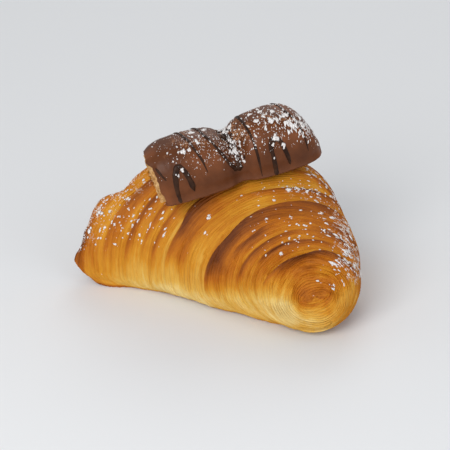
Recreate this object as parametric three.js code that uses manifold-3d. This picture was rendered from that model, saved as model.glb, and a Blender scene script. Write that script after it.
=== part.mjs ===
// A filled sfogliatella: a cone of wound, laminated pastry with its mouth pressed shut,
// and half of a chocolate-coated wafer bar pushed into its crown.
//
// Millimetres, +Z up, standing on z = 0. The nose of the cone, where the winding starts, points to -Y.
// The mouth is at the back, and is the widest part, along X.
import * as THREE from 'three';
import Module from 'manifold-3d';
import { mergeVertices } from 'three/addons/utils/BufferGeometryUtils.js';

const wasm = await Module();
wasm.setup();

// ---------------------------------------------------------------- driving dimensions

// Plan position of the nose tip. It centres the pastry's box on the origin.
const NOSE_TIP = [34.8, -37.9];

// The cone, from the nose tip to the lips and a little way into the mouth. A row is one arched ring:
//   at       share of the winding, from 0 at the tip to 1 at the lips
//   left, right  plan position of the ring's two edges, from the nose tip
//   crown, waist, sole  heights of its top, its widest level and its underside; the tray flattens it at 0
//   shift    how far the crown lies to the right of the ring's middle
//   lean     how far the ring's top leans back, as a slope
//   arch, heel  roundness of the ring above and below the waist; 2 is an ellipse
const STATIONS = [
  ['at', 'left', 'right', 'crown', 'waist', 'sole', 'shift', 'lean', 'arch', 'heel'],
  [0.000, [0, 0], [0, 0], 18, 18, 18, 0, 0.20, 2, 2],
  [0.085, [-8, 1.3], [8, 1.3], 25, 17, 10, 0, 0.18, 2, 2],
  [0.160, [-13.5, 5], [12.4, 4.5], 29, 15.8, 4.4, 0, 0.15, 2, 1.95],
  [0.250, [-20.5, 10.5], [15.4, 11.5], 32.5, 15, 0, 0, 0.10, 2, 1.85],
  [0.470, [-38.5, 22.8], [15.7, 31.5], 38.5, 11, -2, 2, 0.05, 2.1, 2.8],
  [0.620, [-53.2, 32], [12.2, 46.5], 43.5, 9, -2, 5, 0.05, 2.1, 3],
  [0.760, [-68.4, 38.8], [9.8, 56.5], 46.2, 8, -2, 5, 0.05, 2.35, 3.9],
  [0.860, [-82.2, 42.3], [7.6, 63.5], 43.6, 8.6, -1.3, 3.5, 0.05, 2.5, 3.0],
  [0.930, [-84.9, 45.5], [6.2, 71.5], 34, 9.2, 1.8, 2.5, 0.05, 2.05, 2.6],
  [1.000, [-83, 51.5], [3.5, 76.5], 15.2, 9.5, 3.6, 0, 0.05, 2.2, 2.2],
  [1.025, [-81, 50.5], [2.8, 74], 11.2, 9.5, 7.8, 0, 0, 2.2, 2.2],
  [1.070, [-79, 47.5], [2.5, 70.5], 10.1, 9.5, 8.9, 0, 0, 2.2, 2.2],
];

// Swellings, where the cone is fuller or slacker than its stations say.
//   at, length  where along the cone it is highest, and how far it goes either way
//   middle, reach  the same round the ring, in degrees
//   rise     its height
const SWELLINGS = [
  ['at', 'length', 'middle', 'reach', 'rise'],
  [0.810, 0.150, 110, 24, 3.4], // the crown, beside the bar's cut end
  [0.905, 0.065, 142.5, 13.5, 2.2], // the shoulder of the left corner
  [0.915, 0.090, 168, 16, -2.0], // the hollow under that shoulder
  [0.838, 0.065, 219, 20, 1.7], // the left corner's foot
];

// The leaves. The strip is wound as one spiral, coarser here than the real one.
const WINDINGS = 30;
const EDGE_AT = 0.22; // where in a winding the edge of its leaf stands out
const LEAF_RISE = 0.6; // and how far
const UNDER_POINTS = 16; // points of one winding round the underside
const OVER_POINTS = 34; // and over the top
const SMOOTH_FROM = 0.985; // the leaves and folds fade out from here to the lips

// Folds: bunches of leaves that the oven pushed out, each ending in a step down towards the lips.
//   winding  the leaf that ends it
//   length   windings over which it swells
//   rise     its height
//   middle, reach  the angle round the ring where it is highest, and how far it goes either way, in degrees
const FOLDS = [
  ['winding', 'length', 'rise', 'middle', 'reach'],
  [5, 1.5, 1.0, 100, 85],
  [9, 1.5, 0.6, 80, 70],
  [13, 2.2, 1.6, 125, 95],
  [16, 1.2, 0.8, 70, 60],
  [18, 1.2, 1.0, 145, 50],
  [20, 0.9, 0.7, 155, 45],
  [23, 1.5, 1.6, 130, 60],
  [26, 1.6, 1.2, 140, 70],
];
const FOLD_DIP = 0.35; // depth of the dip after a fold, as a share of its rise

// The bar: two domed halves joined by a low neck. u runs along it, from the cut end to the round one.
const BAR_AT = [-27, 45.9, 42.9]; // middle of its underside, from the nose tip
const BAR_YAW = 18;
const BAR_TILT = 10; // the round end is the higher
const BAR_SECTIONS = [
  ['u', 'half', 'height'],
  [-29.5, 10.8, 16.6], [-27.5, 11.7, 17.9], [-23, 12, 19], [-16, 12.2, 19.3], [-8, 12, 18.5],
  [-4.5, 11.2, 16.4], [-2, 9.9, 13.7], [-0.3, 9.5, 12.9], [1.5, 9.9, 14], [4, 11.5, 17],
  [8, 12.2, 19.2], [14, 12.3, 19.8], [20, 11.9, 18.8], [24, 11, 16], [27, 9.4, 11.6],
  [28.5, 7.8, 8], [29, 6.6, 5.6],
];
const CUT_LEAN = 0.18; // how far the cut end overhangs at its top, as a slope
const CUT_SKEW = 0.11; // and how far its front goes out past its back
const CUT_LEVEL = 9; // height at which the cut is at u
const CUT_FADE = -12; // u from which the cut's slope comes in
const BAR_WAIST = 2.2; // level where the bar is widest
const BAR_DOME = 2.7; // boxiness of its section above the waist
const BAR_FOOT = 5; // and below
const BAR_POINTS = 28; // round a section
const STEEPEST = 1.3; // slope past which the coating thins out
const COATING = 1.3;
const WAFER_GAP = 0.45; // between the coating and the wafer
const WAFER_SHOWS = 0.7; // how far the wafer stands out of the cut end
const WAFER_SHORT = 2; // sections of the round end that the wafer doesn't reach into
const SEAT_GAP = 0.4; // between the bar and the hollow it has pressed into the crown

const material = (color, roughness) => new THREE.MeshStandardMaterial({ color, roughness, metalness: 0 });
const CRUST = material(0xc28232, 0.6);
const CHOCOLATE = material(0x5f3d27, 0.4);
const WAFER = material(0xc79b60, 0.8);

// ---------------------------------------------------------------- helpers

// Rows of a table, each as an object with the names in the table's first row.
function records([names, ...rows]) {
  return rows.map((row) => Object.fromEntries(row.map((value, i) => [names[i], value])));
}

// A smooth curve through [x, y] pairs that never swings past them (a monotone cubic).
function curveThrough(pairs) {
  const [x, y] = [0, 1].map((k) => pairs.map((pair) => pair[k]));
  const last = x.length - 1;
  const width = x.slice(1).map((v, i) => v - x[i]);
  const slope = width.map((w, i) => (y[i + 1] - y[i]) / w);
  const tangent = x.map((_, i) => {
    if (i === 0 || i === last) return slope[Math.min(i, last - 1)];
    if (slope[i - 1] * slope[i] <= 0) return 0;
    const [a, b] = [2 * width[i] + width[i - 1], width[i] + 2 * width[i - 1]];
    return (a + b) / (a / slope[i - 1] + b / slope[i]);
  });
  return (at) => {
    const v = THREE.MathUtils.clamp(at, x[0], x[last]);
    const i = Math.max(x.findIndex((edge) => v <= edge) - 1, 0);
    const s = (v - x[i]) / width[i];
    const onward = 3 * s ** 2 - 2 * s ** 3;
    const bend = (s ** 3 - 2 * s ** 2 + s) * tangent[i] + (s ** 3 - s ** 2) * tangent[i + 1];
    return y[i] + onward * (y[i + 1] - y[i]) + width[i] * bend;
  };
}

const signedPower = (value, power) => Math.sign(value) * Math.abs(value) ** power;

function geometryOf(points, faces) {
  const geometry = new THREE.BufferGeometry();
  geometry.setAttribute('position', new THREE.Float32BufferAttribute(points.flatMap((p) => p.toArray()), 3));
  geometry.setIndex(faces.flat());
  return geometry;
}

function solidOf(geometry) {
  const merged = mergeVertices(geometry, 1e-4);
  return new wasm.Manifold(new wasm.Mesh({
    numProp: 3,
    vertProperties: merged.attributes.position.array,
    triVerts: new Uint32Array(merged.index.array),
  }));
}

function geometryFrom(solid) {
  const mesh = solid.getMesh();
  const geometry = new THREE.BufferGeometry();
  geometry.setAttribute('position', new THREE.BufferAttribute(mesh.vertProperties, 3));
  geometry.setIndex(new THREE.BufferAttribute(mesh.triVerts, 1));
  return geometry;
}

// The two triangles of a cell whose corners run round it.
const cell = (a, b, c, d) => [[a, b, c], [a, c, d]];

// Closes an open loop of points with a fan round their middle, which is added to the points.
function fan(points, loop) {
  const middle = new THREE.Vector3();
  loop.forEach((i) => middle.addScaledVector(points[i], 1 / loop.length));
  points.push(middle);
  return loop.map((i, k) => [i, loop[(k + 1) % loop.length], points.length - 1]);
}

// ---------------------------------------------------------------- the wound cone

const stations = records(STATIONS);
const along = (read) => curveThrough(stations.map((station) => [station.at, read(station)]));
const cone = {
  leftX: along((s) => s.left[0]),
  leftY: along((s) => s.left[1]),
  rightX: along((s) => s.right[0]),
  rightY: along((s) => s.right[1]),
};
['crown', 'waist', 'sole', 'shift', 'lean', 'arch', 'heel'].forEach((name) => {
  cone[name] = along((s) => s[name]);
});

// A point of the smooth cone. The angle goes round the ring from its right edge, over the crown.
function conePoint(t, angle) {
  const left = new THREE.Vector3(cone.leftX(t), cone.leftY(t), 0);
  const right = new THREE.Vector3(cone.rightX(t), cone.rightY(t), 0);
  const half = right.clone().sub(left).divideScalar(2);
  const unit = half.clone().normalize();
  const above = Math.sin(angle) >= 0;
  const reach = above ? cone.crown(t) - cone.waist(t) : cone.waist(t) - cone.sole(t);
  const power = 2 / (above ? cone.arch(t) : cone.heel(t));
  const rise = reach * signedPower(Math.sin(angle), power);
  const shift = above && reach > 0 ? cone.shift(t) * (rise / reach) ** 2 : 0;
  const point = left.add(right).divideScalar(2);
  point.addScaledVector(half, signedPower(Math.cos(angle), power)).addScaledVector(unit, shift);
  point.x -= cone.lean(t) * rise * unit.y;
  point.y += cone.lean(t) * rise * unit.x;
  point.z = cone.waist(t) + rise;
  return point;
}

function coneNormal(t, angle) {
  const at = Math.max(t, 0.01);
  const onward = conePoint(at + 0.005, angle).sub(conePoint(at - 0.005, angle));
  const round = conePoint(at, angle + 0.02).sub(conePoint(at, angle - 0.02));
  return onward.cross(round).normalize();
}

// How far the folds lift the skin, at a place counted in windings.
function foldLift(winding, angle) {
  const degrees = THREE.MathUtils.euclideanModulo(THREE.MathUtils.radToDeg(angle), 360);
  return records(FOLDS).reduce((lift, fold) => {
    const away = Math.min(Math.abs(degrees - fold.middle) / fold.reach, 1);
    const past = winding - fold.winding;
    const swell = past <= 0 ? Math.exp(past / fold.length) : -FOLD_DIP * Math.exp(-past / fold.length);
    return lift + fold.rise * swell * Math.cos(away * Math.PI / 2) ** 2;
  }, 0);
}

// How far the swellings lift the skin.
function swellLift(t, angle) {
  const degrees = THREE.MathUtils.euclideanModulo(THREE.MathUtils.radToDeg(angle), 360);
  return records(SWELLINGS).reduce((lift, swelling) => {
    const along = Math.min(Math.abs(t - swelling.at) / swelling.length, 1);
    const away = Math.min(Math.abs(degrees - swelling.middle) / swelling.reach, 1);
    return lift + swelling.rise * (Math.cos(along * Math.PI / 2) * Math.cos(away * Math.PI / 2)) ** 2;
  }, 0);
}

// A point of the pastry's skin. A turn of 1 is once round, from the right edge and under the cone.
function skinPoint(winding, turn) {
  const t = (winding + turn) / WINDINGS;
  const angle = -2 * Math.PI * turn;
  const leaf = Math.abs(winding % 1) > 0 ? LEAF_RISE : 0;
  const fade = 1 - THREE.MathUtils.smoothstep(t, SMOOTH_FROM, 1.02);
  const point = conePoint(t, angle);
  point.addScaledVector(coneNormal(t, angle), fade * (leaf + foldLift(winding, angle) + swellLift(t, angle)));
  point.add(new THREE.Vector3(...NOSE_TIP, 0));
  point.z = Math.max(point.z, 0);
  return point;
}

// Two rows of points make a winding, its foot and its edge. The end of a row is the start of
// the same row of the next winding, so that the rows follow one spiral from the nose into the mouth.
function windStrip() {
  const turns = [
    ...Array.from({ length: UNDER_POINTS }, (_, j) => 0.5 * j / UNDER_POINTS),
    ...Array.from({ length: OVER_POINTS }, (_, j) => 0.5 + 0.5 * j / OVER_POINTS),
  ];
  const round = turns.length;
  const rows = 2 * Math.floor(WINDINGS * stations.at(-1).at);
  const points = [];
  for (let row = 0; row < rows; row += 1) {
    const winding = Math.floor(row / 2) + (row % 2) * EDGE_AT;
    turns.forEach((turn) => points.push(skinPoint(winding, turn)));
  }
  const at = (row, j) => (j < round ? row * round + j : (row + 2) * round);
  const faces = [];
  for (let row = 0; row < rows - 1; row += 1) {
    const end = row < rows - 3 ? round : round - 1;
    for (let j = 0; j < end; j += 1) {
      faces.push(...cell(at(row, j), at(row, j + 1), at(row + 1, j + 1), at(row + 1, j)));
    }
  }
  for (let j = 1; j < round; j += 1) faces.push([0, at(0, j + 1), at(0, j)]);
  faces.push([0, at(1, 0), at(2, 0)]);
  const lastRow = turns.map((_, j) => at(rows - 1, j));
  faces.push(...fan(points, [...lastRow, at(rows - 2, round - 1), at(rows - 3, round - 1)]));
  return geometryOf(points, faces);
}

// ---------------------------------------------------------------- the bar

const sections = records(BAR_SECTIONS);
const halfWidth = curveThrough(sections.map((s) => [s.u, s.half]));
const domeHeight = curveThrough(sections.map((s) => [s.u, s.height]));
const BAR_START = sections[0].u;
const BAR_END = sections.at(-1).u;
const BAR_LENGTH = BAR_END - BAR_START;

// How much longer a step straight inward is when taken in the plane of a section, where the bar narrows.
function slant(curve, u) {
  return Math.hypot(1, Math.min(Math.abs(curve(u + 0.5) - curve(u - 0.5)), STEEPEST));
}

// One section of the bar at u, drawn in by inset, and placed at x along it.
function barRing(u, inset, x) {
  const slope = Math.max(CUT_FADE - u, 0) / (CUT_FADE - BAR_START);
  const [aside, down] = [inset * slant(halfWidth, u), inset * slant(domeHeight, u)];
  return Array.from({ length: BAR_POINTS }, (_, i) => {
    const angle = 2 * Math.PI * i / BAR_POINTS;
    const above = Math.sin(angle) >= 0;
    const power = 2 / (above ? BAR_DOME : BAR_FOOT);
    const reach = above ? domeHeight(u) - BAR_WAIST - down : BAR_WAIST - inset;
    const y = (halfWidth(u) - aside) * signedPower(Math.cos(angle), power);
    const z = BAR_WAIST + reach * signedPower(Math.sin(angle), power);
    return new THREE.Vector3(x + slope * (CUT_SKEW * y - CUT_LEAN * (z - CUT_LEVEL)), y, z);
  });
}

// The bar's shape drawn in by inset all round, with its ends carried straight on by before and after.
function barGeometry({ inset = 0, before = 0, after = 0, length = BAR_LENGTH, short = 0 }) {
  const shapes = sections.slice(0, sections.length - short);
  const rings = shapes.map(({ u }) => barRing(u, inset, BAR_START + (u - BAR_START) * length / BAR_LENGTH));
  if (before) rings.unshift(barRing(BAR_START, inset, BAR_START - before));
  if (after) rings.push(barRing(BAR_END, inset, BAR_START + length + after));
  const points = rings.flat();
  const at = (ring, i) => ring * BAR_POINTS + i % BAR_POINTS;
  const faces = [];
  for (let ring = 0; ring < rings.length - 1; ring += 1) {
    for (let i = 0; i < BAR_POINTS; i += 1) {
      faces.push(...cell(at(ring, i), at(ring, i + 1), at(ring + 1, i + 1), at(ring + 1, i)));
    }
  }
  const loop = rings[0].map((_, i) => i);
  faces.push(...fan(points, [...loop].reverse()), ...fan(points, loop.map((i) => at(rings.length - 1, i))));
  return geometryOf(points, faces);
}

function placeBar(geometry) {
  geometry.rotateY(THREE.MathUtils.degToRad(-BAR_TILT));
  geometry.rotateZ(THREE.MathUtils.degToRad(BAR_YAW));
  geometry.translate(NOSE_TIP[0] + BAR_AT[0], NOSE_TIP[1] + BAR_AT[1], BAR_AT[2]);
  return solidOf(geometry);
}

const coreLength = BAR_LENGTH - COATING - WAFER_GAP;
const hull = placeBar(barGeometry({}));
const hollow = placeBar(barGeometry({
  inset: COATING, before: COATING, after: WAFER_GAP, length: coreLength,
}));
const core = placeBar(barGeometry({
  inset: COATING + WAFER_GAP, before: WAFER_SHOWS, length: coreLength, short: WAFER_SHORT,
}));
const seat = placeBar(barGeometry({
  inset: -SEAT_GAP, before: WAFER_SHOWS + SEAT_GAP, after: SEAT_GAP,
}));

// ---------------------------------------------------------------- the pieces

function piece(name, solid, look) {
  const mesh = new THREE.Mesh(geometryFrom(solid), look);
  mesh.name = name;
  return mesh;
}

const sfogliatella = new THREE.Group();
sfogliatella.add(
  piece('pastry', solidOf(windStrip()).subtract(seat), CRUST),
  piece('chocolate_coating', hull.subtract(hollow), CHOCOLATE),
  piece('wafer', core, WAFER),
);

export default sfogliatella;
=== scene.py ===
import math

import bpy
import numpy as np
from mathutils import Euler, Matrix, Quaternion, Vector, noise
from mathutils.bvhtree import BVHTree


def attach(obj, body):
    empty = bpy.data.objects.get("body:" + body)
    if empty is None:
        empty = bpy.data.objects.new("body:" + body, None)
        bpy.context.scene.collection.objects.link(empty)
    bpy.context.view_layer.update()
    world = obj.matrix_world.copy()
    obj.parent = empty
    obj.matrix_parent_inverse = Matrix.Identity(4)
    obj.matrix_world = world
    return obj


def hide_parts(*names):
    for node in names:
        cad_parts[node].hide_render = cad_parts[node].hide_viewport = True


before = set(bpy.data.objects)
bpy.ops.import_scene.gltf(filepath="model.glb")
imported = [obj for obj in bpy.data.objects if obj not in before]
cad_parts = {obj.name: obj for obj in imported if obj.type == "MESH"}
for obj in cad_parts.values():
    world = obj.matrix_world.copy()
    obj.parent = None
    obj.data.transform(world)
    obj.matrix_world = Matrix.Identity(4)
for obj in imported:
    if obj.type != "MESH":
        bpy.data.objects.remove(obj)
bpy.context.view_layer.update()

# ---------------------------------------------------------------- pastry
# One long strip of dough, stretched paper thin, greased and wound into a roll. A disc cut from the
# roll is pushed out into a cone, filled, and pressed shut at its mouth. In the oven the turns slide
# apart into leaves: their edges brown, and what the outer leaves uncovered last stays pale.

MM = 0.001
NOSE_TIP = (34.8, -37.9)
CONE = [
    # share, left x, y, right x, y, crown, waist, sole, shift, lean, arch, heel
    (0.000, 0, 0, 0, 0, 18, 18, 18, 0, 0.20, 2, 2),
    (0.035, -4.9, 0.5, 4.9, 0.45, 20.7, 17.9, 15.1, 0, 0.19, 2, 2),
    (0.085, -8, 1.3, 8, 1.3, 25, 17, 10, 0, 0.18, 2, 2),
    (0.160, -13.5, 5, 12.4, 4.5, 29, 15.8, 4.4, 0, 0.15, 2, 1.95),
    (0.250, -20.5, 10.5, 15.4, 11.5, 32.5, 15, 0, 0, 0.10, 2, 1.85),
    (0.470, -38.5, 22.8, 15.7, 31.5, 38.5, 11, -2, 2, 0.05, 2.1, 2.8),
    (0.620, -53.2, 32, 12.2, 46.5, 43.5, 9, -2, 5, 0.05, 2.1, 3),
    (0.760, -68.4, 38.8, 9.8, 56.5, 46.2, 8, -2, 5, 0.05, 2.35, 3.9),
    (0.860, -82.2, 42.3, 7.6, 63.5, 43.6, 8.6, -1.3, 3.5, 0.05, 2.5, 3.0),
    (0.930, -84.9, 45.5, 6.2, 71.5, 34, 9.2, 1.8, 2.5, 0.05, 2.05, 2.6),
    (1.000, -83, 51.5, 3.5, 76.5, 15.2, 9.5, 3.6, 0, 0.05, 2.2, 2.2),
    (1.030, -81, 50.5, 2.8, 74, 11.2, 9.5, 7.8, 0, 0, 2.2, 2.2),
    (1.085, -79, 47.5, 2.5, 70.5, 10.1, 9.5, 8.9, 0, 0, 2.2, 2.2),
]
# How many turns the strip has made, and the share of the winding they reach.
WINDINGS = [(0, 0.0), (86, 0.86), (94, 0.925), (120, 1.0), (127, 1.085)]
# Along one winding: the foot of a leaf, its edge and its back, with the height of each.
LEAF = [(0.0, 0.0), (0.28, 1.0), (0.62, 0.6)]
UNDER_POINTS = 86
OVER_POINTS = 166
# The nose's eye is tilted to one side, and the tilt fades within this share of the winding.
EYE_TILT = 0.40
EYE_SHARE = 0.055


def smooth_curve(x, y):
    """A monotone cubic through the points, which never swings past them."""
    x, y = np.asarray(x, float), np.asarray(y, float)
    width = np.diff(x)
    slope = np.diff(y) / width
    tangent = np.concatenate([slope[:1], np.zeros(len(x) - 2), slope[-1:]])
    for i in range(1, len(x) - 1):
        if slope[i - 1] * slope[i] > 0:
            a, b = 2 * width[i] + width[i - 1], width[i] + 2 * width[i - 1]
            tangent[i] = (a + b) / (a / slope[i - 1] + b / slope[i])

    def curve(at):
        at = np.clip(at, x[0], x[-1])
        i = np.clip(np.searchsorted(x, at) - 1, 0, len(x) - 2)
        s = (at - x[i]) / width[i]
        onward = 3 * s**2 - 2 * s**3
        bend = (s**3 - 2 * s**2 + s) * tangent[i] + (s**3 - s**2) * tangent[i + 1]
        return y[i] + onward * (y[i + 1] - y[i]) + width[i] * bend

    return curve


def signed_power(value, power):
    return np.sign(value) * np.abs(value) ** power


cone_curves = [smooth_curve([row[0] for row in CONE], [row[k] for row in CONE]) for k in range(1, 12)]


def cone_point(t, angle):
    """The smooth cone: t along the winding, and the angle round from the right edge over the crown."""
    lx, ly, rx, ry, crown, waist, sole, shift, lean, arch, heel = [c(t) for c in cone_curves]
    c, s = np.cos(angle), np.sin(angle)
    reach = np.where(s >= 0, crown - waist, waist - sole)
    power = 2 / np.where(s >= 0, arch, heel)
    part = signed_power(s, power)
    hx, hy = (rx - lx) / 2, (ry - ly) / 2
    length = np.hypot(hx, hy) + 1e-9
    aside = signed_power(c, power) + np.where(s >= 0, shift * part**2, 0) / length
    back = lean * reach * part / length
    x = NOSE_TIP[0] + (lx + rx) / 2 + aside * hx - back * hy
    y = NOSE_TIP[1] + (ly + ry) / 2 + aside * hy + back * hx
    z = waist + reach * part + EYE_TILT * aside * hx * np.exp(-((t / EYE_SHARE) ** 2))
    return np.stack([x, y, z], -1)


def cone_normal(t, angle):
    """Outwards from the smooth cone. The very tip of the nose borrows it from close by."""
    t = np.maximum(t, 0.006)
    onward = cone_point(t + 0.004, angle) - cone_point(t - 0.004, angle)
    across = cone_point(t, angle + 0.02) - cone_point(t, angle - 0.02)
    normal = np.cross(onward, across)
    return normal / (np.linalg.norm(normal, axis=-1, keepdims=True) + 1e-9)


def wander(*axes, seed=0.0):
    """Smooth random values, about -1 to 1, over coordinates counted in the size of their swells."""
    axes = np.broadcast_arrays(*axes)
    points = np.stack([a.ravel() for a in axes] + [np.zeros(axes[0].size)] * (3 - len(axes)), 1) + seed
    return np.array([noise.noise(p) for p in points.tolist()]).reshape(axes[0].shape) * 1.6


def ramp(value, low, high):
    """0 below low, 1 above high, and a soft rise between."""
    s = np.clip((value - low) / (high - low), 0, 1)
    return s * s * (3 - 2 * s)


def span(value, low, high, soft):
    """1 between low and high, and 0 outside, with soft edges."""
    return ramp(value, low - soft, low + soft) * (1 - ramp(value, high - soft, high + soft))


# Folds, where a bunch of leaves was pushed out and ends in a step down towards the mouth:
# angles and shares of the winding along its edge, how dark it baked there, length of the swelling
# before it and of its browning in shares, and its height in mm.
FOLDS = [
    ([20, 50, 80, 105, 135, 152, 172], [0.225, 0.220, 0.200, 0.182, 0.190, 0.198, 0.212],
     [0.35, 0.45, 0.55, 0.60, 0.45, 0.27, 0.12], 0.045, 0.028, 1.0),
    ([60, 95, 125, 150], [0.268, 0.262, 0.264, 0.272], [0.20, 0.38, 0.42, 0.25], 0.025, 0.018, 0.4),
    ([90, 120, 150, 176], [0.318, 0.312, 0.320, 0.328], [0.20, 0.36, 0.40, 0.15], 0.025, 0.020, 0.4),
    ([110, 130, 150], [0.385, 0.372, 0.380], [0.15, 0.35, 0.20], 0.020, 0.016, 0.3),
    ([40, 58, 95, 118, 139, 157, 186], [0.505, 0.492, 0.473, 0.457, 0.444, 0.455, 0.462],
     [0.35, 0.36, 0.38, 0.46, 0.55, 0.54, 0.40], 0.050, 0.046, 1.4),
    ([40, 62, 80, 96, 112], [0.580, 0.560, 0.552, 0.550, 0.556],
     [0.45, 0.60, 0.62, 0.42, 0.20], 0.025, 0.020, 0.7),
    ([118, 137, 150, 178], [0.635, 0.625, 0.606, 0.612], [0.45, 0.62, 0.50, 0.06], 0.030, 0.046, 1.1),
    ([128, 155, 182], [0.668, 0.662, 0.664], [0.35, 0.42, 0.05], 0.016, 0.012, 0.4),
    ([126, 150, 182], [0.708, 0.700, 0.702], [0.30, 0.34, 0.05], 0.018, 0.014, 0.5),
    ([110, 150, 180], [0.752, 0.744, 0.748], [0.40, 0.48, 0.10], 0.018, 0.014, 0.6),
    ([100, 140, 178], [0.800, 0.798, 0.802], [0.35, 0.40, 0.15], 0.024, 0.016, 1.0),
    ([70, 130, 190], [0.925, 0.930, 0.934], [0.40, 0.42, 0.30], 0.035, 0.025, 1.2),
    ([20, 45, 70], [0.330, 0.338, 0.345], [0.30, 0.40, 0.25], 0.030, 0.020, 0.5),
    ([10, 35, 60], [0.420, 0.412, 0.405], [0.25, 0.40, 0.30], 0.030, 0.022, 0.6),
    ([15, 45, 75], [0.640, 0.648, 0.655], [0.25, 0.42, 0.30], 0.040, 0.022, 0.8),
    ([20, 55, 90], [0.760, 0.768, 0.775], [0.25, 0.42, 0.30], 0.040, 0.022, 0.9),
]
# How brown the crust is along the winding: on its top, its flanks, low down and underneath.
BROWNING = [
    (0.00, 0.66, 0.66, 0.64, 0.50),
    (0.035, 0.64, 0.61, 0.59, 0.55),
    (0.062, 0.60, 0.48, 0.34, 0.32),
    (0.118, 0.56, 0.39, 0.02, 0.15),
    (0.16, 0.53, 0.38, 0.00, 0.15),
    (0.22, 0.55, 0.46, 0.12, 0.25),
    (0.30, 0.57, 0.54, 0.20, 0.35),
    (0.43, 0.59, 0.56, 0.18, 0.35),
    (0.50, 0.49, 0.44, 0.10, 0.35),
    (0.60, 0.48, 0.43, 0.07, 0.35),
    (0.70, 0.50, 0.43, 0.09, 0.35),
    (0.82, 0.54, 0.54, 0.40, 0.35),
    (0.90, 0.60, 0.70, 0.64, 0.38),
    (0.95, 0.62, 0.66, 0.62, 0.40),
    (1.085, 0.50, 0.45, 0.42, 0.38),
]
browning_curves = [smooth_curve([row[0] for row in BROWNING], [row[k] for row in BROWNING]) for k in range(1, 5)]


def fold_fields(t, degrees):
    """How far the folds lift the skin there, in mm, and how much browner or paler they leave it."""
    lift, brown = np.zeros_like(t), np.zeros_like(t)
    for angles, shares, darkness, length, stain, rise in FOLDS:
        window = span(degrees, angles[0], angles[-1], 12)
        past = t - smooth_curve(angles, shares)(degrees)
        before, after = np.minimum(past, 0), np.maximum(past, 0)
        step = ramp(past, -0.002, 0.008)
        swelling, hollow = np.exp(before / length) * (1 - step), np.exp(-after / (0.7 * length)) * step
        lift += rise * window * (swelling - 0.25 * hollow)
        shade = ramp(past, -0.005, 0.009)
        dark = smooth_curve(angles, darkness)(degrees) * window
        brown += dark * (np.exp(before / stain) * (1 - shade) - 0.3 * np.exp(-after / stain) * shade)
    return lift, brown


def rolled_grid(name, around, along, points):
    """A flat sheet of quads, laid out where the points say, row by row."""
    bpy.ops.object.select_all(action="DESELECT")
    bpy.ops.mesh.primitive_grid_add(x_subdivisions=around, y_subdivisions=along, size=0.1)
    sheet = bpy.context.object
    sheet.name = sheet.data.name = name
    sheet.data.vertices.foreach_set("co", (points.reshape(-1, 3) * MM).ravel())
    return sheet


def paint(piece, name, values):
    """Gives each point of a rolled grid its value, or its three."""
    threefold = values.ndim == 3
    layer = piece.data.attributes.new(name, "FLOAT_VECTOR" if threefold else "FLOAT", "POINT")
    layer.data.foreach_set("vector" if threefold else "value", values.ravel())


def close_up(reach=2e-7):
    """Joins the meeting edges of the sheet just laid out, closes its ends and turns its faces outwards."""
    bpy.ops.object.mode_set(mode="EDIT")
    bpy.ops.mesh.select_all(action="SELECT")
    bpy.ops.mesh.remove_doubles(threshold=reach)
    bpy.ops.mesh.select_all(action="SELECT")
    bpy.ops.mesh.fill_holes(sides=0)
    bpy.ops.mesh.select_all(action="SELECT")
    bpy.ops.mesh.normals_make_consistent(inside=False)
    bpy.ops.object.mode_set(mode="OBJECT")


# The bar's place and shape: it is pushed into the crown, and presses the leaves under it flat.
BAR_AT = (7.8, 8.0, 42.9)
BAR_YAW = 18
BAR_TILT = 10
BAR = [
    # u along the bar from its cut end, half width, height of the dome
    (-29.5, 10.8, 16.6), (-27.5, 11.7, 17.9), (-23, 12, 19), (-16, 12.2, 19.3), (-8, 12, 18.5),
    (-4.5, 11.2, 16.4), (-2, 9.9, 13.7), (-0.3, 9.5, 12.9), (1.5, 9.9, 14), (4, 11.5, 17),
    (8, 12.2, 19.2), (14, 12.3, 19.8), (20, 11.9, 18.8), (24, 11, 16), (27, 9.4, 11.6),
    (28.5, 7.8, 8), (29, 6.6, 5.6),
]
BAR_WAIST = 2.2  # how high above its foot the bar's section is widest
SEAT_HALF_LENGTH = 28.6
SEAT_NARROWER = 0.4
SEAT_DEPTH = 0.1  # below the bar's foot
bar_half = smooth_curve([row[0] for row in BAR], [row[1] for row in BAR])
bar_height = smooth_curve([row[0] for row in BAR], [row[2] for row in BAR])
bar_turn = Euler((0, 0, math.radians(BAR_YAW))).to_matrix() @ Euler((0, -math.radians(BAR_TILT), 0)).to_matrix()
bar_axes = np.array(bar_turn)


def from_bar(local):
    return local @ bar_axes.T + np.array(BAR_AT)


def into_bar(points):
    return (points - np.array(BAR_AT)) @ bar_axes


turns = np.concatenate([np.linspace(0, 0.5, UNDER_POINTS, endpoint=False), np.linspace(0.5, 1, OVER_POINTS + 1)])
row_count = 3 * WINDINGS[-1][0]
row = np.arange(row_count + 1)
foot = np.array([LEAF[k][0] for k in row % 3]) + row // 3
stand = np.array([LEAF[k][1] for k in row % 3])[:, None]
at_foot = stand == 0
turn = np.broadcast_to(turns, (len(row), len(turns)))
phase = foot[:, None] + turn
angle = -2 * np.pi * turn
degrees = np.mod(np.degrees(angle) + 60, 360) - 60
# The leaves wander a little, together and one by one, but not in the eye or in the lips.
ring = np.cos(angle), np.sin(angle)
drift = 0.5 * wander(phase * 0.16, ring[0] * 1.1, ring[1] * 1.1, seed=3.1)
drift += 0.28 * wander(phase * 0.5, ring[0] * 2.6, ring[1] * 2.6, seed=9.7)
drift *= ramp(phase, 2, 9) * (1 - ramp(phase, 112, 119))
t = np.interp(phase + drift, *zip(*WINDINGS))
smooth_skin = cone_point(t, angle)
outward = cone_normal(t, angle)
fold_lift, fold_brown = fold_fields(t, degrees)
lips = ramp(t, 0.985, 1.03)


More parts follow.
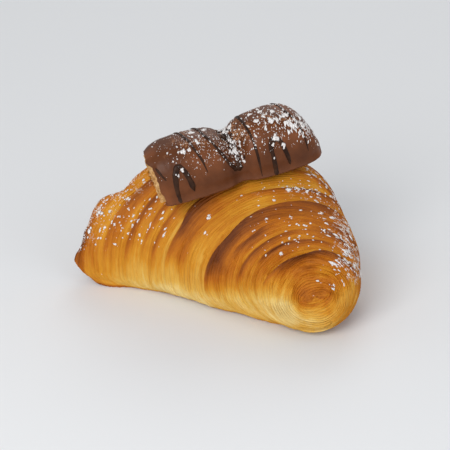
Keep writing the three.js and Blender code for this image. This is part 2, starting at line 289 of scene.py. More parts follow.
def area(degrees_from, degrees_to, degrees_soft, share_from, share_to, share_soft):
    """1 in one area of the crust, and 0 outside, with soft edges."""
    return span(degrees, degrees_from, degrees_to, degrees_soft) * span(t, share_from, share_to, share_soft)


# Leaves gape low on the nose, and lie close along the crown and the long wing.
open_leaves = area(208, 300, 18, 0.108, 0.20, 0.018)
open_leaves *= np.clip(0.65 + 0.7 * wander(phase * 0.45, ring[0] * 1.2, ring[1] * 1.2, seed=23.7), 0.15, 1.3)
close_lying = np.maximum(area(55, 160, 20, 0.26, 0.62, 0.05), 0.6 * ramp(t, 0.50, 0.66))
bunching = wander(phase * 0.43, ring[0] * 1.5, ring[1] * 1.5, seed=17.3)
rise = 0.25 + 0.13 * bunching + 0.12 * wander(phase * 0.9, ring[0] * 3, ring[1] * 3, seed=5.5)
rise = rise * (1 - 0.5 * close_lying)
rise = np.maximum(rise + 0.75 * open_leaves, 0.05) * (1 - 0.6 * lips) * ramp(t, 0.0, 0.03)
gap = np.maximum(0.12 * (1 + 1.5 * wander(phase * 0.8, ring[0] * 2.2, ring[1] * 2.2, seed=31.9)), 0)
gap = (gap * (1 - 0.5 * close_lying) + 2.0 * open_leaves) * at_foot * (1 - lips) * ramp(t, 0.0, 0.02)
ragged = 0.07 * wander(phase * 1.3, ring[0] * 26, ring[1] * 26, seed=41.0) * (stand == 1)
# Broad swellings and hollows at the corner of the long wing: height in mm, and their area.
SWELLINGS = [
    (2.3, 136, 149, 7, 0.87, 0.94, 0.03),
    (-2.0, 160, 176, 8, 0.86, 0.97, 0.03),
    (3.4, 98, 122, 12, 0.73, 0.89, 0.05),
    (-1.0, 127, 135, 6, 0.84, 0.93, 0.03),
    (1.7, 208, 230, 9, 0.80, 0.875, 0.025),
]
corner = sum(height * area(*where) for height, *where in SWELLINGS)
SKIN_DRAWN_IN = 0.35  # mm, so that the leaves' edges and not their feet come to the smooth cone
swell = corner + 0.55 * wander(phase * 0.11, ring[0] * 1.3, ring[1] * 1.3, seed=51.0) * ramp(t, 0.02, 0.15)
lift = rise * stand - 0.8 * gap + ragged + (fold_lift + swell) * (1 - lips) - SKIN_DRAWN_IN
skin = smooth_skin + outward * lift[..., None]
table_clear = np.where(at_foot, 0.3, 0.0) * (t < 0.98)  # on the table the leaves stand on their edges
skin[..., 2] = np.maximum(skin[..., 2], table_clear)
seat = into_bar(skin)
under_bar = np.abs(seat[..., 1]) < bar_half(seat[..., 0]) - SEAT_NARROWER
under_bar &= np.abs(seat[..., 0]) < SEAT_HALF_LENGTH
seat[..., 2] = np.where(under_bar & (seat[..., 2] > -SEAT_DEPTH), -SEAT_DEPTH, seat[..., 2])
skin = from_bar(seat)

# The browning: by place, darker along the folds and where the crust met the tray, and streaked leaf by leaf.
around_top = ramp(np.sin(angle), 0.15, 0.75)
low = ramp(-np.sin(angle), -0.28, 0.35) * ramp(degrees, 90, 150) * (1 - ramp(degrees, 240, 296))
beneath = ramp(-np.sin(angle), 0.75, 0.97)
brown_top, brown_flank, brown_low, brown_under = [curve(t) for curve in browning_curves]
browning = brown_flank + (brown_top - brown_flank) * around_top
browning += (brown_low - browning) * low
browning += (brown_under - browning) * beneath
streaks = 0.5 * wander(phase * 0.35, ring[0] * 1.2, ring[1] * 1.2, seed=61.0)
streaks += 0.5 * wander(phase * 0.9, ring[0] * 2.0, ring[1] * 2.0, seed=71.0)
browning += fold_brown * (1 - low) + 0.12 * streaks + 0.05 * (stand - 0.5)
browning += 0.28 * ramp(-skin[..., 2], -1.6, -0.4) * (1 - beneath)
# Fine sugar on the right shoulder, the wing's corner, the crown and the back: how much, and its area.
DUSTED = [
    (0.60, 5, 58, 16, 0.16, 0.60, 0.06),
    (0.62, 100, 168, 18, 0.80, 0.98, 0.05),
    (0.36, 62, 100, 16, 0.50, 0.58, 0.03),
    (0.28, 30, 120, 20, 0.62, 0.97, 0.05),
]
dusting = np.maximum.reduce([amount * area(*where) for amount, *where in DUSTED])
# Painted shade: the leaves' feet and the gaps between them get a darker colour, standing in for the shade that
# falls into them.
crevice_shade = 1.1 * gap + (0.12 - 0.07 * close_lying) * at_foot

pastry = rolled_grid("pastry_leaves", len(turns) - 1, row_count, skin)
paint(pastry, "browning", np.clip(browning, 0, 1))
paint(pastry, "crevice_shade", np.clip(crevice_shade, 0, 1))
paint(pastry, "dusting", np.clip(dusting, 0, 1))
paint(pastry, "along_leaf", np.stack([ring[0] * 3.2, ring[1] * 3.2, phase * 0.9], -1))
close_up()
bpy.ops.object.shade_smooth_by_angle(angle=math.radians(60))


def srgb(red, green, blue):
    """A colour given as it looks on a screen, from 0 to 255."""
    return tuple(((v / 255 + 0.055) / 1.055) ** 2.4 if v > 10 else v / 3294.6 for v in (red, green, blue)) + (1.0,)


def feed(tree, socket, value):
    if isinstance(value, bpy.types.NodeSocket):
        tree.links.new(value, socket)
    else:
        socket.default_value = value


def new_node(tree, kind, inputs=None, **settings):
    """A node with its settings, each input given as a value or as the socket that feeds it."""
    node = tree.nodes.new(kind)
    for name, value in settings.items():
        setattr(node, name, value)
    for name, value in (inputs or {}).items():
        feed(tree, node.inputs[name], value)
    return node


def new_material(name, **sockets):
    material = bpy.data.materials.new(name)
    material.use_nodes = True
    shader = material.node_tree.nodes["Principled BSDF"]
    for socket, value in sockets.items():
        shader.inputs[socket.replace("_", " ")].default_value = value
    return material, material.node_tree, shader


def colour_ramp(tree, factor, stops):
    node = new_node(tree, "ShaderNodeValToRGB", {"Fac": factor})
    elements = node.color_ramp.elements
    while len(elements) < len(stops):
        elements.new(0.5)
    for element, (position, colour) in zip(elements, stops):
        element.position, element.color = position, colour
    return node.outputs["Color"]


def arithmetic(tree, operation, first, second, clamp=False):
    return new_node(tree, "ShaderNodeMath", {0: first, 1: second}, operation=operation, use_clamp=clamp).outputs[0]


def mottling(tree, place, scale, detail, roughness=0.5):
    inputs = {"Vector": place, "Scale": scale, "Detail": detail, "Roughness": roughness}
    return new_node(tree, "ShaderNodeTexNoise", inputs).outputs["Fac"]


def swing(tree, pattern, amount):
    """A random pattern, made to go as far below nought as above it."""
    return arithmetic(tree, "MULTIPLY", arithmetic(tree, "SUBTRACT", pattern, 0.5), amount)


def blend_colour(tree, factor, first, second):
    node = new_node(tree, "ShaderNodeMix", data_type="RGBA")
    inputs = {socket.identifier: socket for socket in node.inputs}
    for name, value in (("Factor_Float", factor), ("A_Color", first), ("B_Color", second)):
        feed(tree, inputs[name], value)
    return next(socket for socket in node.outputs if socket.identifier == "Result_Color")


def vary_roughness(tree, shader, pattern, low, high):
    spread = new_node(tree, "ShaderNodeMapRange", {"Value": pattern, "To Min": low, "To Max": high})
    tree.links.new(spread.outputs["Result"], shader.inputs["Roughness"])


def fine_relief(tree, shader, pattern, strength, depth):
    bump = new_node(tree, "ShaderNodeBump", {"Height": pattern, "Strength": strength, "Distance": depth})
    tree.links.new(bump.outputs["Normal"], shader.inputs["Normal"])


# Icing sugar too fine to be a piece of its own: specks that thicken where the dusting is heavy.
sugar_dust = bpy.data.node_groups.new("sugar_dust", "ShaderNodeTree")
sugar_dust.interface.new_socket("Amount", in_out="INPUT", socket_type="NodeSocketFloat")
sugar_dust.interface.new_socket("Mask", in_out="OUTPUT", socket_type="NodeSocketFloat")
dust_in = new_node(sugar_dust, "NodeGroupInput")
dust_place = new_node(sugar_dust, "ShaderNodeTexCoord").outputs["Object"]
speck = mottling(sugar_dust, dust_place, 1500, 2.0, 0.6)
patch = mottling(sugar_dust, dust_place, 260, 2.0)
powder = arithmetic(sugar_dust, "MULTIPLY", speck, 0.6)
powder = arithmetic(sugar_dust, "ADD", powder, arithmetic(sugar_dust, "MULTIPLY", patch, 0.5))
powder = arithmetic(sugar_dust, "ADD", powder, arithmetic(sugar_dust, "MULTIPLY", dust_in.outputs["Amount"], 0.17))
dust_mask = new_node(sugar_dust, "ShaderNodeMapRange", {"Value": powder, "From Min": 0.685, "From Max": 0.735})
dust_out = new_node(sugar_dust, "NodeGroupOutput")
sugar_dust.links.new(dust_mask.outputs["Result"], dust_out.inputs["Mask"])


def dusted(tree, colour, dusting, spread, cover, powder_colour):
    """The colour under fine sugar, which shows only where the dusting and the specks both say so."""
    specks = new_node(tree, "ShaderNodeGroup", {"Amount": dusting}, node_tree=sugar_dust).outputs["Mask"]
    heavy = arithmetic(tree, "MULTIPLY", dusting, spread, clamp=True)
    shows = arithmetic(tree, "MULTIPLY", specks, heavy, clamp=True)
    return blend_colour(tree, arithmetic(tree, "MULTIPLY", shows, cover), colour, powder_colour)


crust, tree, shader = new_material("pastry_crust", Roughness=0.55, Specular_IOR_Level=0.20)
read = {name: new_node(tree, "ShaderNodeAttribute", attribute_name=name).outputs
        for name in ("browning", "crevice_shade", "dusting", "along_leaf")}
place = new_node(tree, "ShaderNodeTexCoord").outputs["Object"]
leafwise = read["along_leaf"]["Vector"]
fibres = mottling(tree, leafwise, 3.0, 4.0, 0.6)
blotches = mottling(tree, place, 140, 3.0, 0.55)
baked = arithmetic(tree, "ADD", read["browning"]["Fac"], swing(tree, fibres, 0.26))
baked = arithmetic(tree, "ADD", baked, swing(tree, blotches, 0.26), clamp=True)
crust_colour = colour_ramp(tree, baked, [
    (0.00, srgb(232, 206, 136)),
    (0.20, srgb(218, 173, 78)),
    (0.42, srgb(203, 137, 32)),
    (0.62, srgb(179, 102, 16)),
    (0.80, srgb(142, 75, 16)),
    (1.00, srgb(98, 48, 16)),
])
# Painted shade: the crust colour is darkened towards a deep brown at the leaves' feet and in the gaps between the
# leaves.
painted_crevice_shade = arithmetic(tree, "MULTIPLY", read["crevice_shade"]["Fac"], 0.62)
crust_colour = blend_colour(tree, painted_crevice_shade, crust_colour, srgb(120, 66, 22))
crust_colour = dusted(tree, crust_colour, read["dusting"]["Fac"], 1.3, 0.8, srgb(230, 220, 208))
tree.links.new(crust_colour, shader.inputs["Base Color"])
vary_roughness(tree, shader, blotches, 0.50, 0.70)
fine_relief(tree, shader, mottling(tree, leafwise, 5.5, 5.0, 0.65), 0.45, 0.0005)
pastry.data.materials.clear()
pastry.data.materials.append(crust)
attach(pastry, "root")
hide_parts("pastry")

# ---------------------------------------------------------------- wafer
# The bar's body, baked wafer, runs the whole length of the bar. The cut is aslant and crumbly, and the
# wafer stands out of the chocolate there by about a millimetre, except on top, where the coat hangs over.

BAR_START, BAR_END = -29.5, 29
COATING = 1.3
WAFER_GAP = 0.25
WAFER_END = 26.5
WAFER_SHOWS = 1.0
WAFER_MIDDLE = 8
# The cut: how much it leans with the height and slants across the bar, and how far back it lies.
CUT_LEAN = 0.15
CUT_SKEW = 0.11
CUT_BACK = 1.0

# The dome's height as it would be without the groove.
bar_crest = smooth_curve([row[0] for row in BAR if abs(row[0]) > 6], [row[2] for row in BAR if abs(row[0]) > 6])


def bar_section(u, angle, inset=0.0):
    """A point of the bar's section at u, drawn in by inset: the angle goes from its back over its top.
    The groove runs aslant, and is shallower over the back."""
    c, s = np.cos(angle), np.sin(angle)
    over_back = ramp(-np.degrees(angle) % 360, 240, 290) * (s > 0)
    u = u + 1.4 * over_back * np.exp(-((u / 7) ** 2))
    power = 2 / np.where(s >= 0, 2.7, 5.0)
    part = signed_power(s, power)
    height = bar_height(u) + 0.45 * over_back * (bar_crest(u) - bar_height(u))
    reach = np.where(s >= 0, height - BAR_WAIST, BAR_WAIST) - inset
    y = (bar_half(u) - inset) * signed_power(c, power)
    z = BAR_WAIST + reach * part
    foot_edge = np.exp(-(((z - 0.9) / 0.7) ** 2)) - 0.6 * np.exp(-(((z - 3.2) / 1.0) ** 2))
    y = y + np.where(inset > 0, 0, 0.35) * foot_edge * np.sign(c) * ramp(np.abs(c), 0.2, 0.7)
    return y, z


def cut_slope(u, y, z):
    """How far the slanting cut moves a point along the bar."""
    return np.clip((-12 - u) / 17.5, 0, 1) * (CUT_SKEW * y - CUT_LEAN * (z - 9) + CUT_BACK)


WAFER_POINTS = 144
CUT_RINGS, BODY_ROWS, BACK_RINGS = 26, 90, 10
body_u = np.linspace(BAR_START, WAFER_END, BODY_ROWS)
u_rows = np.concatenate([np.full(CUT_RINGS, BAR_START), body_u, np.full(BACK_RINGS, WAFER_END)])[:, None]
shrink = np.concatenate([np.linspace(0.02, 1, CUT_RINGS), np.ones(BODY_ROWS), np.linspace(0.96, 0.02, BACK_RINGS)])
shrink = shrink[:, None]
turn_round = np.linspace(0, 2 * np.pi, WAFER_POINTS + 1)[None, :]
y, z = bar_section(u_rows, turn_round, COATING + WAFER_GAP)
y, z = y * shrink, WAFER_MIDDLE + (z - WAFER_MIDDLE) * shrink
at_cut = u_rows == BAR_START
pits = wander(y * 0.5, z * 0.5, seed=81.0) * 0.5 + wander(y * 1.6, z * 1.6, seed=83.0) * 0.5
along = u_rows + at_cut * (pits - 0.1 - WAFER_SHOWS) + cut_slope(u_rows, y, z)
wafer = rolled_grid("wafer_core", WAFER_POINTS, len(u_rows) - 1, from_bar(np.stack([along, y, z], -1)))
close_up()
bpy.ops.object.shade_smooth_by_angle(angle=math.radians(50))

wafer_look, tree, shader = new_material("crumbly_wafer", Roughness=0.85, Specular_IOR_Level=0.2)
place = new_node(tree, "ShaderNodeTexCoord").outputs["Object"]
crumb = mottling(tree, place, 900, 4.0, 0.7)
toast = mottling(tree, place, 160, 2.0)
toned = arithmetic(tree, "ADD", arithmetic(tree, "MULTIPLY", crumb, 0.6), arithmetic(tree, "MULTIPLY", toast, 0.4))
wafer_colour = colour_ramp(tree, toned, [
    (0.32, srgb(134, 88, 44)),
    (0.50, srgb(186, 140, 86)),
    (0.66, srgb(226, 192, 140)),
])
tree.links.new(wafer_colour, shader.inputs["Base Color"])
fine_relief(tree, shader, crumb, 0.6, 0.0004)
wafer.data.materials.append(wafer_look)
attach(wafer, "root")
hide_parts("wafer")

# ---------------------------------------------------------------- chocolate coating
# Milk chocolate run over the wafer in a thin coat, with a foot where it pooled on the belt.
# It is a shell, open and ragged at the cut end.

COAT_POINTS = 176
TIP_BULGE = 0.9
HOLLOW_END = 27
# Rows from the closed end over the outside to the cut, and back inside: u, how far the section is
# drawn together, and how far the tip bulges.
tip_turn = np.radians(np.linspace(86, 4, 14))
tip_rows = [(BAR_END, math.cos(a), TIP_BULGE * math.sin(a)) for a in tip_turn]
outer_u = np.concatenate([np.linspace(BAR_END, 24, 22, endpoint=False), np.linspace(24, BAR_START, 150)])
outer_rows = tip_rows + [(u, 1, 0) for u in outer_u]
inner_rows = [(u, 1, 0) for u in np.linspace(BAR_START + 0.2, HOLLOW_END, 40)]
inner_ends = [(HOLLOW_END, s, 0) for s in np.linspace(0.9, 0.05, 8)]
rows = np.array(outer_rows + inner_rows + inner_ends)
inside = (np.arange(len(rows)) >= len(outer_rows))[:, None]
turn_round = np.linspace(0, 2 * np.pi, COAT_POINTS + 1)[None, :]
u, turn_round = np.broadcast_arrays(rows[:, 0:1], turn_round)
across, upright = np.cos(turn_round), np.sin(turn_round)
y, z = bar_section(u, turn_round, np.where(inside, COATING, 0.0))
middle = np.where(inside, WAFER_MIDDLE, 2.8)
y, z = y * rows[:, 1:2], middle + (z - middle) * rows[:, 1:2]
near_cut = 1 - ramp(u, BAR_START, -27.0)
ragged = 0.6 * wander(across * 2.5, upright * 2.5, seed=91.0) + 0.4 * wander(across * 8, upright * 8, seed=93.0)
over_top = 0.9 * ramp(upright, 0.6, 1.0)
along = u + rows[:, 2:3] + cut_slope(u, y, z) - near_cut * (ragged + over_top - 0.1)
waves = 0.16 * wander(u * 0.16, turn_round * 1.5, seed=95.0) + 0.05 * wander(u * 0.6, turn_round * 4, seed=97.0)
waves = waves * (~inside) * (upright > -0.3)
y, z = y + waves * across, z + waves * upright
coating = rolled_grid("chocolate_shell", COAT_POINTS, len(rows) - 1, from_bar(np.stack([along, y, z], -1)))
# Fine sugar over the domes, in the groove and on the round end.
on_top = ramp(upright, 0.35, 0.95)
coat_dust = on_top * 0.46 * ramp(u, -29, -16)
coat_dust = coat_dust + 0.3 * np.exp(-(((u + 0.3) / 3.0) ** 2)) * ramp(upright, 0.1, 0.6)
coat_dust = np.maximum(coat_dust, 0.45 * ramp(u, 20, 27) * ramp(upright, 0.1, 0.5))
paint(coating, "dusting", np.clip(coat_dust, 0, 1) * ~inside)
close_up()
bpy.ops.object.shade_smooth_by_angle(angle=math.radians(55))

chocolate, tree, shader = new_material("milk_chocolate", Roughness=0.4, Specular_IOR_Level=0.22)
place = new_node(tree, "ShaderNodeTexCoord").outputs["Object"]
dusting = new_node(tree, "ShaderNodeAttribute", attribute_name="dusting").outputs["Fac"]
bloom = mottling(tree, place, 90, 3.0)
grainy = mottling(tree, place, 700, 3.0, 0.6)
chocolate_colour = colour_ramp(tree, bloom, [
    (0.3, srgb(78, 40, 17)),
    (0.5, srgb(94, 51, 24)),
    (0.7, srgb(118, 66, 34)),
])
chocolate_colour = dusted(tree, chocolate_colour, dusting, 1.2, 0.75, srgb(194, 140, 100))
tree.links.new(chocolate_colour, shader.inputs["Base Color"])
vary_roughness(tree, shader, grainy, 0.34, 0.50)
fine_relief(tree, shader, grainy, 0.25, 0.0003)
coating.data.materials.append(chocolate)
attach(coating, "root")
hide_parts("chocolate_coating")

# ---------------------------------------------------------------- dark drizzle
# Threads of dark chocolate, run off a spoon across the bar and back in a zigzag. They set as low
# beads on the milk chocolate, thick where they slowed and pooled.

# One thread per row: half its width, its height, then its way as (u along the bar, degrees over it, swell).
THREADS = [
    (0.60, 0.42, [(-19, 14, 1), (-18.6, 40, 1), (-17.4, 70, 1.1), (-16.2, 88, 1), (-15, 108, 1), (-14.2, 128, 0.9),
                  (-12.8, 148, 0.75), (-12.2, 168, 0.5)]),
    (0.68, 0.45, [(-13.4, 18, 1), (-12.2, 45, 1), (-11, 70, 1.2), (-9.8, 90, 1), (-8.2, 114, 1), (-6.2, 136, 1),
                  (-3.8, 157, 1.2), (-1.6, 169, 2.0)]),
    (0.75, 0.50, [(-3.4, 20, 1), (-2.4, 50, 1.1), (-1.2, 88, 1.3), (-0.4, 120, 1.3), (-0.6, 150, 1.5),
                  (-0.9, 171, 2.1)]),
    (1.00, 0.55, [(-24.6, 188, 0.7), (-24.1, 174, 1), (-23.1, 155, 1.1), (-21.4, 144, 1.1), (-20.4, 147, 1)]),
    (0.95, 0.50, [(-22.0, 143, 1), (-20.8, 144, 1.1), (-19.6, 154, 1.1), (-18.8, 166, 1.1), (-18.2, 178, 0.8)]),
    (0.45, 0.60, [(-23.5, 176, 0.8), (-22.9, 162, 1), (-22.0, 152, 1.1), (-21.2, 149, 0.8)]),
    (0.58, 0.42, [(3.6, 16, 1), (4.4, 50, 1), (5, 84, 1.1), (5.4, 112, 1), (5.8, 140, 1), (6, 182, 0.7)]),
    (0.95, 0.52, [(11, 202, 0.6), (11, 184, 0.8), (10.9, 162, 1), (11.9, 148, 1.25), (13.2, 147, 1.1)]),
    (0.80, 0.48, [(12.2, 147, 1.2), (13.8, 148, 1.1), (15.3, 160, 1.1), (16.1, 172, 1), (16.4, 180, 0.7)]),
    (0.58, 0.40, [(15.4, 20, 1), (16.8, 45, 1), (18.2, 70, 1.1), (19.8, 96, 1), (22.2, 120, 1), (23.4, 144, 0.8),
                  (23.8, 174, 0.5)]),
    (0.50, 0.35, [(-28.4, 130, 0.8), (-27.4, 146, 1), (-26.2, 158, 0.6)]),
    (0.60, 0.42, [(-26, 10, 0.6), (-25, 35, 1), (-23.4, 52, 1.1), (-21.6, 40, 1), (-21, 12, 0.7)]),
    (0.65, 0.42, [(9, 8, 0.7), (9.4, 35, 1), (11, 50, 1.1), (12.4, 34, 1), (12.6, 8, 0.7)]),
]
BEAD_POINTS = 14
BEAD_ROWS = 14  # for each step of a thread's way
BEAD_SUNK = 0.12
BEAD_FULLNESS = 0.9


def on_bar(u, angle):
    """A point on the chocolate: u along the bar, and the angle from its back over its top."""
    y, z = bar_section(u, angle)
    return from_bar(np.stack([u + cut_slope(u, y, z), y, z], -1))


def unit(vectors):
    return vectors / np.linalg.norm(vectors, axis=-1, keepdims=True)


def bar_outward(u, angle):
    along = on_bar(u + 0.1, angle) - on_bar(u - 0.1, angle)
    return unit(np.cross(on_bar(u, angle + 0.01) - on_bar(u, angle - 0.01), along))


beads = []
for number, (half_width, height, way) in enumerate(THREADS):
    way = np.array(way, float)
    fine = np.linspace(0, len(way) - 1, BEAD_ROWS * len(way))
    path_u, path_degrees, swellings = [smooth_curve(np.arange(len(way)), way[:, k])(fine) for k in range(3)]
    path_u = path_u + 0.18 * wander(fine * 0.9, seed=101.0 + 3 * number)
    path_angle = np.radians(path_degrees)
    centre, up = on_bar(path_u, path_angle), bar_outward(path_u, path_angle)
    aside = unit(np.cross(up, np.gradient(centre, axis=0)))
    ends = np.sqrt(np.clip(np.minimum(fine, fine[-1] - fine) / 0.35, 0.02, 1))
    uneven = 0.26 * wander(fine * 1.3, seed=111.0 + number) + 0.1 * wander(fine * 6, seed=131.0 + number)
    thick = BEAD_FULLNESS * swellings * ends * (1 + uneven)
    around = np.linspace(0, 2 * np.pi, BEAD_POINTS + 1)[None, :, None]
    points = centre[:, None] - BEAD_SUNK * up[:, None] + thick[:, None, None] * (
        aside[:, None] * half_width * np.cos(around) + up[:, None] * height * np.sin(around))
    bead = rolled_grid("drizzle_thread", BEAD_POINTS, len(fine) - 1, points)
    close_up(1e-6)
    beads.append(bead)
bpy.ops.object.select_all(action="DESELECT")
for bead in beads:
    bead.select_set(True)
bpy.context.view_layer.objects.active = beads[0]
bpy.ops.object.join()
drizzle = bpy.context.object
drizzle.name = drizzle.data.name = "dark_drizzle"
bpy.ops.object.shade_smooth_by_angle(angle=math.radians(60))
dark, tree, shader = new_material("dark_chocolate", Roughness=0.3, Specular_IOR_Level=0.16)
place = new_node(tree, "ShaderNodeTexCoord").outputs["Object"]
dull = mottling(tree, place, 420, 3.0)
dark_colour = colour_ramp(tree, dull, [(0.35, srgb(38, 20, 11)), (0.65, srgb(60, 36, 21))])
tree.links.new(dark_colour, shader.inputs["Base Color"])
vary_roughness(tree, shader, dull, 0.30, 0.55)
fine_relief(tree, shader, dull, 0.4, 0.0005)
drizzle.data.materials.clear()
drizzle.data.materials.append(dark)
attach(drizzle, "root")

# ---------------------------------------------------------------- icing sugar
# Sifted over the bar and the crust, last of all. It lies in specks, in crumbs that slid and caught
# along the leaves of the right shoulder, and in a few small heaps.

rng = np.random.default_rng(20)
# Patches on the crust: share of the winding and its spread, angle and its spread, how many crumbs,
# half their width in mm, and how drawn out they are along the leaves.
CRUST_SUGAR = [
    (0.30, 0.09, 38, 12, 150, 0.22, 2.6),
    (0.20, 0.04, 50, 10, 30, 0.25, 2.2),
    (0.43, 0.05, 44, 12, 75, 0.20, 2.6),
    (0.66, 0.03, 52, 8, 40, 0.22, 2.4),
    (0.545, 0.014, 76, 11, 34, 0.22, 2.0),
    (0.55, 0.02, 74, 14, 70, 0.13, 1.4),
    (0.88, 0.05, 148, 14, 300, 0.14, 1.3),
    (0.78, 0.05, 154, 12, 90, 0.18, 1.5),
    (0.70, 0.04, 153, 9, 26, 0.24, 2.2),
    (0.37, 0.06, 88, 13, 26, 0.22, 1.3),
    (0.26, 0.04, 104, 18, 12, 0.22, 1.3),
    (0.82, 0.08, 72, 28, 120, 0.20, 1.4),
    (0.62, 0.10, 36, 16, 60, 0.24, 2.0),
    (0.50, 0.28, 105, 30, 60, 0.12, 1.3),
]
# Patches on the bar: u along it and spread, angle and spread, crumbs, half width, stretch.
BAR_SUGAR = [
    (15, 7.5, 96, 24, 110, 0.20, 2.2),
    (15, 8, 100, 26, 260, 0.12, 1.6),
    (20.5, 3, 132, 12, 80, 0.18, 2.8),
    (25.6, 1.9, 112, 24, 110, 0.15, 2.2),
    (-0.6, 1.5, 100, 26, 130, 0.20, 1.7),
    (-0.8, 2.6, 106, 30, 260, 0.11, 1.2),
    (-13.5, 6.5, 92, 24, 330, 0.10, 1.2),
    (-15, 8, 98, 20, 30, 0.22, 1.5),
    (5, 14, 140, 14, 40, 0.13, 2.0),
    (4, 15, 148, 13, 150, 0.085, 2.2),
    (-13, 7.5, 122, 16, 130, 0.085, 1.5),
]
# Heaps of a few lumps each: their two coordinates as above, and half their width in mm.
HEAP_LUMPS = 6
SIZE_SPREAD = 0.36
BAR_HEAPS = [
    (-18.0, 122, 0.8), (-16.1, 123, 0.55), (-22.5, 153, 0.7), (-20.5, 150, 0.85), (9.4, 106, 0.9), (14.2, 112, 1.1),
    (19, 110, 1.0), (18.4, 126, 0.8), (1.5, 160, 0.8), (-1.8, 130, 0.8), (13.6, 146, 1.0), (12.1, 153, 0.7),
    (15.2, 157, 0.6), (20.4, 132, 0.9), (12, 90, 0.8), (-8.6, 86, 0.8), (-13.2, 88, 0.9), (23.8, 128, 0.8),
    (16, 96, 0.8), (8.2, 88, 0.8),
]
CRUST_HEAPS = [
    (0.064, 85, 0.50), (0.057, 75, 0.40), (0.228, 125, 0.65), (0.26, 137, 0.35), (0.555, 136, 0.7),
    (0.525, 145, 0.6), (0.128, 46, 0.42), (0.150, 61, 0.28), (0.210, 78, 0.50), (0.335, 67, 0.65),
    (0.275, 106, 0.5), (0.285, 94, 0.4), (0.35, 90, 0.45), (0.345, 84, 0.45), (0.68, 57, 0.7),
    (0.54, 84, 0.7), (0.548, 78, 0.5), (0.50, 96, 0.55), (0.395, 92, 0.42), (0.56, 112, 0.45),
    (0.45, 117, 0.3), (0.39, 123, 0.3), (0.854, 163, 0.9), (0.842, 152, 0.7), (0.80, 142, 0.6),
    (0.812, 127, 0.6), (0.796, 158, 0.5), (0.756, 162, 0.6), (0.747, 157, 0.5), (0.717, 161, 0.5),
    (0.778, 169, 0.6), (0.788, 147, 0.5),
]


def scatter(patches, heaps):
    """One row per crumb: its two coordinates, half width, stretch, and how far it strays in mm."""
    rows = []
    for a, a_spread, b, b_spread, count, size, stretch in patches:
        rows.append(np.stack([rng.normal(a, a_spread, count), rng.normal(b, b_spread, count),
                              size * rng.lognormal(0, SIZE_SPREAD, count), np.full(count, stretch),
                              np.zeros(count)], 1))
    for a, b, size in heaps:
        same = np.ones(HEAP_LUMPS)
        rows.append(np.stack([a * same, b * same, size * rng.uniform(0.35, 0.7, HEAP_LUMPS),
                              1.2 * same, 0.5 * size * same], 1))
    return np.concatenate(rows)


def ball(subdivisions):
    bpy.ops.object.select_all(action="DESELECT")
    bpy.ops.mesh.primitive_ico_sphere_add(subdivisions=subdivisions, radius=1)
    shape = bpy.context.object
    points = np.array([v.co for v in shape.data.vertices])
    faces = np.array([list(p.vertices) for p in shape.data.polygons])
    bpy.ops.object.delete()
    return points, faces


SPECK, LUMP = ball(1), ball(2)
LUMP_FROM = 0.2  # half width in mm, from which a crumb has the finer shape
TOO_STEEP = 0.12  # where the surface is steeper, nothing stays lying


def lay_crumbs(rows, places, runs, surface):
    """Crumbs of irregular shape, drawn out along the runs and bedded on the surface."""
    laid = []
    for k, (place_at, run, (size, stretch, stray)) in enumerate(zip(places, runs, rows[:, 2:])):
        start = Vector(((place_at + rng.normal(0, 1, 3) * stray) * MM).tolist())
        spot, up, _, _ = surface.find_nearest(start)
        if up.z < TOO_STEEP:
            continue
        up, spot = np.array(up), np.array(spot) / MM
        run = unit(run - up * np.dot(run, up))
        yaw = rng.uniform(-0.5, 0.5)
        run = run * math.cos(yaw) + np.cross(up, run) * math.sin(yaw)
        points, faces = SPECK if size < LUMP_FROM else LUMP
        bumps = [noise.noise(Vector(p) * 1.6 + Vector((k * 1.37, 0, 0))) * 0.9
                 + noise.noise(Vector(p) * 3.7 + Vector((0, k * 1.91, 0))) * 0.5 for p in points.tolist()]
        lump = points * (1 + np.array(bumps)[:, None]) * size
        lump = (lump[:, :1] * stretch * rng.uniform(0.8, 1.2) * run + lump[:, 1:2] * np.cross(up, run)
                + lump[:, 2:] * rng.uniform(0.45, 0.8) * up)
        laid.append((spot + lump + up * size * 0.15, faces))
    return laid


def crumbs_piece(name, laid):
    """All the crumbs of one kind as one piece."""
    counts = np.cumsum([0] + [len(points) for points, _ in laid])
    faces = np.concatenate([faces + start for (_, faces), start in zip(laid, counts)])
    mesh = bpy.data.meshes.new(name)
    mesh.from_pydata((np.concatenate([points for points, _ in laid]) * MM).tolist(), [], faces.tolist())
    piece = bpy.data.objects.new(name, mesh)
    bpy.context.collection.objects.link(piece)
    bpy.ops.object.select_all(action="DESELECT")
    piece.select_set(True)
    bpy.context.view_layer.objects.active = piece
    bpy.ops.object.shade_smooth()
    return piece


crust_surface = BVHTree.FromObject(pastry, bpy.context.evaluated_depsgraph_get())
bar_corners, bar_faces = [], []
for piece in (coating, drizzle):
    bar_faces += [[len(bar_corners) + k for k in face.vertices] for face in piece.data.polygons]
    bar_corners += [v.co.copy() for v in piece.data.vertices]
bar_surface = BVHTree.FromPolygons(bar_corners, bar_faces)
rows = scatter(CRUST_SUGAR, CRUST_HEAPS)
t_spots, spot_angles = np.clip(rows[:, 0], 0.01, 0.985), np.radians(rows[:, 1])
places = cone_point(t_spots, spot_angles)
held = into_bar(places)
under_bar = (np.abs(held[:, 1]) < bar_half(held[:, 0]) + 0.5) & (np.abs(held[:, 0]) < 29.8) & (held[:, 2] > -1.2)
clear = ~under_bar
runs = cone_point(t_spots, spot_angles + 0.02) - cone_point(t_spots, spot_angles - 0.02)
laid = lay_crumbs(rows[clear], places[clear], runs[clear], crust_surface)

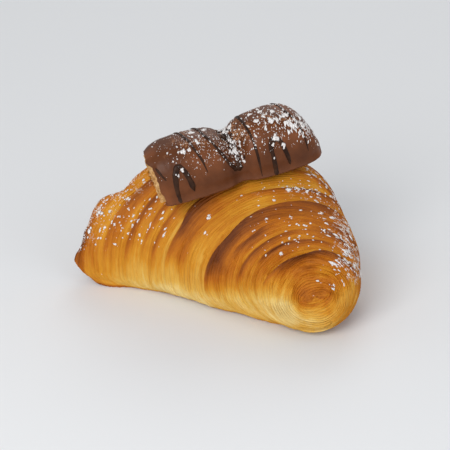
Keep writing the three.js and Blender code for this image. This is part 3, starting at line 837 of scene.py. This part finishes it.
OVER_THREADS = 0.4  # mm above the chocolate, from where crumbs find the nearest thread or coat
rows = scatter(BAR_SUGAR, BAR_HEAPS)
rows = rows[(rows[:, 0] > -29.3) & (rows[:, 0] < 28.9) & (rows[:, 1] > 8) & (rows[:, 1] < 172)]
u_spots, spot_angles = rows[:, 0], np.radians(rows[:, 1])
runs = on_bar(u_spots, spot_angles + 0.02) - on_bar(u_spots, spot_angles - 0.02)
places = on_bar(u_spots, spot_angles) + OVER_THREADS * bar_outward(u_spots, spot_angles)
laid += lay_crumbs(rows, places, runs, bar_surface)
sugar = crumbs_piece("icing_sugar", laid)
icing, tree, shader = new_material("icing_sugar", Roughness=0.9, Specular_IOR_Level=0.2)
place = new_node(tree, "ShaderNodeTexCoord").outputs["Object"]
powdery = mottling(tree, place, 2500, 3.0, 0.7)
icing_colour = colour_ramp(tree, powdery, [(0.3, srgb(206, 198, 194)), (0.6, srgb(240, 238, 237))])
tree.links.new(icing_colour, shader.inputs["Base Color"])
fine_relief(tree, shader, powdery, 0.6, 0.0003)
sugar.data.materials.append(icing)
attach(sugar, "root")

# ---------------------------------------------------------------- chocolate crumbs
# Splinters of the dark chocolate of the threads. They were shaken out over the bar with the sugar,
# and are caught with it in the groove between the two domes.

# Patches, as for the sugar on the bar.
CHIPS = [
    (-0.9, 1.3, 108, 24, 60, 0.24, 1.5),
    (-0.6, 1.6, 140, 12, 24, 0.20, 1.5),
    (-1.2, 1.2, 84, 12, 40, 0.26, 1.6),
]
rows = scatter(CHIPS, [])
u_spots, spot_angles = rows[:, 0], np.radians(np.clip(rows[:, 1], 30, 168))
runs = on_bar(u_spots, spot_angles + 0.02) - on_bar(u_spots, spot_angles - 0.02)
chips = crumbs_piece("chocolate_crumbs", lay_crumbs(rows, on_bar(u_spots, spot_angles), runs, bar_surface))
chips.data.materials.append(dark)
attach(chips, "root")

# ---------------------------------------------------------------- stage
# A plain pale floor of matt board, with a soft sky and three softboxes for light, and the camera
# in front of the nose, a little above the pastry.

bpy.ops.object.select_all(action="DESELECT")
bpy.ops.mesh.primitive_plane_add(size=8, location=(0, 0, 0))
floor = bpy.context.object
floor.name = "floor"
floor_look, tree, shader = new_material("pale_floor", Roughness=0.8, Specular_IOR_Level=0.1)
shader.inputs["Base Color"].default_value = srgb(230, 231, 232)
floor.data.materials.append(floor_look)

world = bpy.data.worlds.new("studio")
world.use_nodes = True
sky = world.node_tree.nodes["Background"]
sky.inputs["Color"].default_value = (0.95, 0.97, 1.0, 1)
sky.inputs["Strength"].default_value = 0.48
bpy.context.scene.world = world
bpy.context.scene.view_settings.view_transform = "Standard"

# Softboxes: name, place, size and power in watts. All face the pastry.
LIT_POINT = (0, 0, 0.03)
SOFTBOXES = [
    ("key_light", (-0.30, -0.75, 0.55), 0.50, 6),
    ("fill_light", (0.60, -0.60, 0.40), 0.70, 1.5),
    ("back_light", (0.10, 0.80, 0.70), 0.60, 2),
]
for name, location, size, power in SOFTBOXES:
    bpy.ops.object.light_add(type="AREA", location=location)
    box = bpy.context.object
    box.name = name
    box.data.shape, box.data.size, box.data.energy = "SQUARE", size, power
    box.rotation_euler = (Vector(LIT_POINT) - Vector(location)).to_track_quat("-Z", "Y").to_euler()

CAMERA_AT = (0.0348, -0.6445, 0.3436)
AIM = (0.0036, -0.0023, 0.0273)
CAMERA_ROLL = -1.23
SENSOR_WIDTH = 36
LENS = 165.2
camera_data = bpy.data.cameras.new("camera")
camera = bpy.data.objects.new("camera", camera_data)
bpy.context.collection.objects.link(camera)
camera.location = CAMERA_AT
camera.rotation_mode = "QUATERNION"
look = (Vector(AIM) - Vector(CAMERA_AT)).to_track_quat("-Z", "Y")
camera.rotation_quaternion = look @ Quaternion((0, 0, 1), math.radians(CAMERA_ROLL))
camera_data.sensor_width = SENSOR_WIDTH
camera_data.lens = LENS
bpy.context.scene.camera = camera
